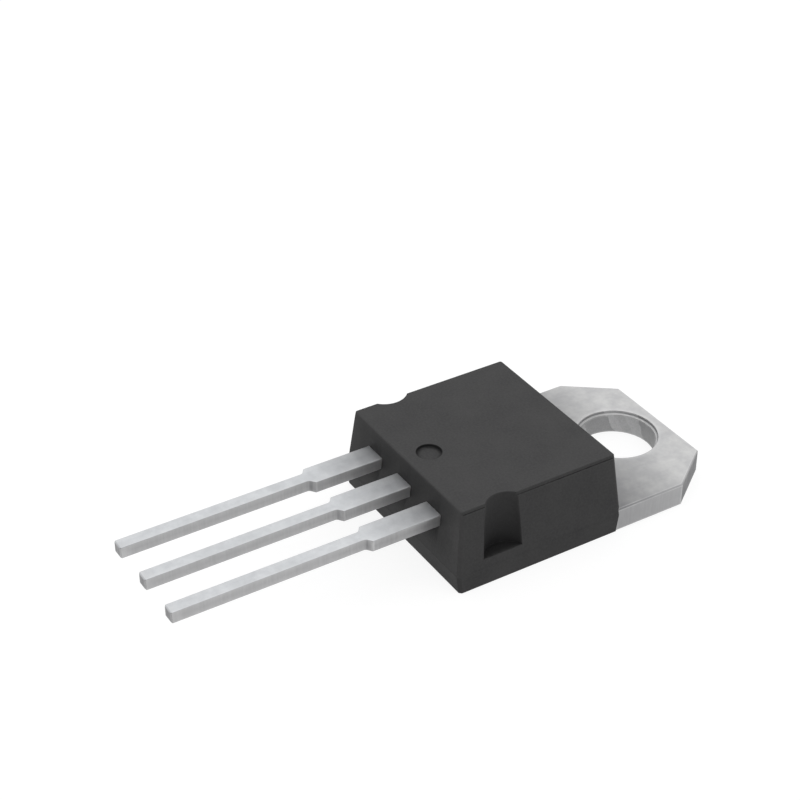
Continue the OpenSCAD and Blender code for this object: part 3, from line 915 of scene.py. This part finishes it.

# %% [markdown]
# ## Tinned copper
#
# Matt tin plate looks like pale grey satin. Rolling the strip first leaves faint streaks along it,
# and plating adds soft clouds. The strip's own sides stay smooth, but are painted darker, as shade
# under light from above. The ends and the tab's cut corners, which the punch sheared, come out dark
# and ribbed, and so do, more faintly, the stumps of the bar that joined the leads: partly as cut
# metal and partly as painted shade. The punch leaves the wall of the bore in broad bands of tone,
# which a stepped ramp lays round its axis. Towards the moulding the tin is painted darker, as the
# shade that the moulding casts on it. Bevelled rims and hollows get painted shade, and bulging edges
# a painted highlight. The tab takes the same network with greyer values.

# %% Wall of the bore
bore_reach = (2.2, 2.4)
bore_bands = ((20, 0.47), (52, 0.34), (97, 0.48), (117, 0.44), (131, 0.48), (145, 0.31), (186, 0.43),
              (225, 0.34), (268, 0.46), (308, 0.38))


def bore_tone(x, y, z, smudges, specks):
    """Broad bands of tone round the punched bore, slanted, ragged with the smudges, and pitted.

    A band starts at its angle in degrees, and the angle of a place is the one round the axis, less
    0.25 of its height and with 0.06 of the smudges, both in radians.
    """
    around = work_out("ARCTAN2", y, x) - z * 0.25 + smudges * 0.06
    bands = add(x.tree, "ValToRGB", {"Fac": work_out("FRACT", around / (2 * np.pi))})
    bands.color_ramp.interpolation = "CONSTANT"
    for degrees, value in bore_bands:
        bands.color_ramp.elements.new(degrees / 360).color = (value, value, 1.01 * value, 1)
    bands.color_ramp.elements[0].color = (0.4, 0.4, 0.404, 1)
    pits = specks.spread(0.35, 0.65, 1.0, 0.0) * 0.25
    return blend(pits, read(bands, "Color"), (0.15, 0.15, 0.152))

# %% Tin in two tones
def tin_finish(name, grey, pale, side_shade_grey, shear_shade_grey, bevel_shade_depth, moulding_shade_depth, moulding_shade_start, moulding_shade_reach):
    """Tin between two tones, with smooth sides and sheared ends.

    Near the moulding it is painted with the moulding's shade: the last three arguments give its
    strength, how far from the moulding it stays full and where it fades out. The argument before
    them gives the strength of painted shade on the bevelled rims.
    """
    material, sockets, place, face = finish(name, grey, 0.45, metallic=0.8)
    clouds = use(cloudy, place, Size=0.95, Softness=0.14)["Mask"]
    smudges = use(cloudy, place, Size=0.34, Softness=0.12)["Mask"]
    rolled = use(streaks, place, Width=0.1, Length=2.4)["Mask"]
    sides = use(cut_sides, place, Face=face, Spacing=0.1)
    rims = use(edges, place, Patch=0.6)
    fine = use(grain, place, Grain=0.07, Depth=0.0008 * MM)
    side, sheared, lines = sides["Side"], sides["Sheared"], sides["Lines"]
    x, y, z = parts_of(place)
    before, behind, from_hole = lead_end_y - y, y - tab_end_y, distance(x, y)
    outside = from_hole.spread(*bore_reach)

    # The plate, and the smooth sides of the strip, painted darker as shade under light from above
    tone = blend(clouds, grey, pale)
    tone = blend(smudges * 0.16, tone, (0.4, 0.4, 0.42))
    tone = blend(rolled * 0.05, tone, (0.8, 0.8, 0.8))
    tone = blend(side, tone, blend(lines, side_shade_grey, scaled(side_shade_grey, 1.1)))

    # What the punch cut: ends, stumps and the bore. Ends and stumps are darker partly as cut metal and
    # partly as painted shade.
    stump_shade = side * (before.spread(1.8, 2.1) * before.spread(3.4, 5.6, 1.0, 0.0)) * 0.3
    cut_and_shade = larger(sheared * outside * 0.85, stump_shade)
    tone = blend(cut_and_shade, tone, blend(lines, shear_shade_grey, scaled(shear_shade_grey, 1.6)))
    in_bore = side * from_hole.spread(*bore_reach, 1.0, 0.0)
    tone = blend(in_bore, tone, bore_tone(x, y, z, smudges, fine["Height"]))

    # Painted shade that the moulding casts, thinner on the sides and where the epoxy starts
    moulding_shade = larger(before, behind).spread(moulding_shade_start, moulding_shade_reach, moulding_shade_depth, 0.0)
    moulding_shade = moulding_shade * abs(before).spread(0.0, 0.6, 0.72, 1.0) * side.spread(0, 1, 1.0, 0.35)
    tone = blend(moulding_shade, tone, (0.1, 0.1, 0.105))

    # Painted shade on the bevels, painted highlights on bulging edges and painted shade in hollows
    upright = abs(parts_of(face)[2])
    bevel = upright.spread(0.15, 0.4) * upright.spread(0.85, 0.97, 1.0, 0.0) * outside
    tone = blend(bevel * bevel_shade_depth, tone, (0.12, 0.12, 0.125))
    tone = blend(rims["Highlight"] * (1.0 - bevel) * 0.45, tone, (0.7, 0.7, 0.7))
    tone = blend(rims["Hollow"] * 0.3, tone, (0.16, 0.16, 0.165))
    paint(sockets, tone, rolled * -0.04 + sheared * 0.1 + smudges * 0.05 + 0.45, fine["Normal"])
    print(f"{name}:", len(place.tree.nodes), "nodes")
    return material


lead_tin = tin_finish("matt tin", grey=(0.605, 0.622, 0.642), pale=(0.683, 0.7, 0.72),
                      side_shade_grey=(0.4, 0.4, 0.405), shear_shade_grey=(0.2, 0.2, 0.205), bevel_shade_depth=0.1,
                      moulding_shade_depth=0.56, moulding_shade_start=0.6, moulding_shade_reach=3.4)
# The tab takes the same network with values greyer than the leads'
tab_tin = tin_finish("greyer tin", grey=(0.54, 0.54, 0.545), pale=(0.64, 0.64, 0.635),
                     side_shade_grey=(0.39, 0.39, 0.395), shear_shade_grey=(0.1, 0.1, 0.103), bevel_shade_depth=0.22,
                     moulding_shade_depth=0.745, moulding_shade_start=0.0, moulding_shade_reach=4.4)

# %% [markdown]
# ## What the moulding hides
#
# The chip, its solder and its wires never show, but whoever cuts the part open sees them. Silicon is
# dark and mirror-like with the fine stripes of its cells, solder sets in dull patches, and bonding
# wire is soft bright aluminium. They keep the shapes of the CAD model, and one short network with
# three sets of values is enough for all of them.

# %% Silicon, solder and aluminium
def inner_finish(name, dark, light, roughness, size, spacing, stripes):
    """A metal between two tones in patches of one size, with stripes of one spacing over them."""
    material, sockets, place = finish(name, dark, roughness, metallic=0.9)[:3]
    patches = use(cloudy, place, Size=size, Softness=0.1)["Mask"]
    lines = use(streaks, place, Width=spacing, Length=3.0)["Mask"]
    fine = use(grain, place, Grain=0.05, Depth=0.0005 * MM)
    tone = blend(lines * stripes, blend(patches, dark, light), (0.75, 0.75, 0.77))
    paint(sockets, tone, patches.spread(0, 1, roughness, 0.8 * roughness), fine["Normal"])
    print(f"{name}:", len(place.tree.nodes), "nodes")
    return material


silicon = inner_finish("silicon", (0.12, 0.125, 0.15), (0.16, 0.16, 0.19),
                       roughness=0.22, size=1.5, spacing=0.03, stripes=0.35)
solder = inner_finish("solder", (0.36, 0.36, 0.35), (0.5, 0.5, 0.48),
                      roughness=0.55, size=0.2, spacing=0.2, stripes=0.05)
aluminium = inner_finish("soft aluminium", (0.7, 0.7, 0.7), (0.82, 0.82, 0.81),
                         roughness=0.35, size=0.3, spacing=0.02, stripes=0.3)

# %% Put the finishes on
def dress(piece, *materials):
    """Gives a piece its materials in place of any that it has."""
    piece.data.materials.clear()
    for material in materials:
        piece.data.materials.append(material)


def faces_beyond(mesh, y):
    """1 for the faces whose first corner lies beyond y, in metres, and 0 for the others."""
    first = listed(mesh.polygons, "loop_start", kind=np.int32)
    corner = listed(mesh.loops, "vertex_index", kind=np.int32)[first]
    return (listed(mesh.vertices, "co", 3)[corner, 1] > y).astype(np.int32)


node_finishes = {"molded_body": epoxy, "silicon_die": silicon, "die_solder": solder}
for name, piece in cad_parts.items():
    dress(piece, aluminium if "wire" in name else node_finishes.get(name, lead_tin))
dress(moulding, epoxy)
dress(control_pin, lead_tin)
dress(drain_pin, lead_tin)
dress(plate, lead_tin, tab_tin)
on_tab = faces_beyond(plate.data, (tab_end_y - 1) * MM)
plate.data.polygons.foreach_set("material_index", on_tab)
print("faces on the tab:", on_tab.sum())

# %% [markdown]
# ## Floor, light and camera
#
# A small part is shown on a white sweep under a large softbox, so that flat faces read as even
# tones. The floor stays a mid grey to the light that it bounces back and gives off white only to
# the eye and to reflections, so it looks white without lighting the part from below.

# %% White floor
def seen_directly(tree):
    """1 for camera, glossy and transmission rays, 0 for the light that a matt face gathers."""
    path = add(tree, "LightPath")
    opaque = read(path, "Is Camera Ray") + read(path, "Is Glossy Ray")
    clear = read(path, "Is Transmission Ray")
    return read(add(tree, "Math", {0: opaque, 1: clear}, operation="ADD", use_clamp=True))


floor_half, floor_z, floor_glow = 1.5, -0.00001, 0.84
floor_corners = [(x * floor_half, y * floor_half, floor_z) for x, y in ((-1, -1), (1, -1), (1, 1), (-1, 1))]
floor_mesh = bpy.data.meshes.new("floor")
floor_mesh.from_pydata(floor_corners, [], [(0, 1, 2, 3)])
floor = bpy.data.objects.new("floor", floor_mesh)
bpy.context.scene.collection.objects.link(floor)
floor_paint = bpy.data.materials.new("white floor")
floor_paint.use_nodes = True
floor_tree = floor_paint.node_tree
floor_tree.nodes.clear()
matt = add(floor_tree, "BsdfDiffuse", {"Color": (0.22, 0.22, 0.22, 1)})
glow = add(floor_tree, "Emission", {"Strength": seen_directly(floor_tree) * floor_glow})
both = add(floor_tree, "AddShader", {0: read(matt), 1: read(glow)})
add(floor_tree, "OutputMaterial", {"Surface": read(both)})
floor_paint.cycles.emission_sampling = "NONE"
floor_mesh.materials.append(floor_paint)
print("floor:", 2 * floor_half, "m square")

# %% Sky
world = bpy.data.worlds.new("studio")
bpy.context.scene.world = world
world.use_nodes = True
sky_tree = world.node_tree
sky_tree.nodes.clear()
white_sky = add(sky_tree, "Background", {"Color": (1, 1, 1, 1)})
soft_sky = add(sky_tree, "Background", {"Color": (0.85, 0.85, 0.85, 1)})
sky = add(sky_tree, "MixShader", {0: seen_directly(sky_tree), 1: read(soft_sky), 2: read(white_sky)})
add(sky_tree, "OutputWorld", {"Surface": read(sky)})
world.cycles.sampling_method = "NONE"
print("sky:", len(sky_tree.nodes), "nodes")

# %% Softbox
def softbox(name, place, aim, side, watts):
    """A square area lamp of the given side, in metres, that looks from its place to its aim."""
    lamp = bpy.data.lights.new(name, "AREA")
    lamp.shape = "SQUARE"
    lamp.size = side
    lamp.energy = watts
    lamp_object = bpy.data.objects.new(name, lamp)
    lamp_object.location = place
    lamp_object.rotation_mode = "QUATERNION"
    lamp_object.rotation_quaternion = (Vector(aim) - Vector(place)).to_track_quat("-Z", "Y")
    bpy.context.scene.collection.objects.link(lamp_object)
    print(f"{name}: {side} m wide, {watts} W")


middle = (cad_low + cad_high) / 2
softbox("overhead_softbox", (middle.x, middle.y, 0.4), middle, 0.3, 0.15)

# %% Camera
azimuth, elevation = np.radians(58.37), np.radians(34.16)
aim, camera_reach = Vector((-2.596, -11.013, 5.665)) * MM, 86.99
level = np.cos(elevation)
back = Vector((np.sin(azimuth) * level, -np.cos(azimuth) * level, np.sin(elevation)))
camera_data = bpy.data.cameras.new("camera")
camera_data.lens = 84.06
camera_data.sensor_width = 36
camera_data.clip_start, camera_data.clip_end = 0.005, 10
camera = bpy.data.objects.new("camera", camera_data)
camera.location = aim + back * camera_reach * MM
camera.rotation_mode = "QUATERNION"
camera.rotation_quaternion = (-back).to_track_quat("-Z", "Y")
bpy.context.scene.collection.objects.link(camera)
bpy.context.scene.camera = camera
bpy.context.scene.view_settings.view_transform = "Standard"
print("camera:", [round(value / MM, 2) for value in camera.location], "mm")
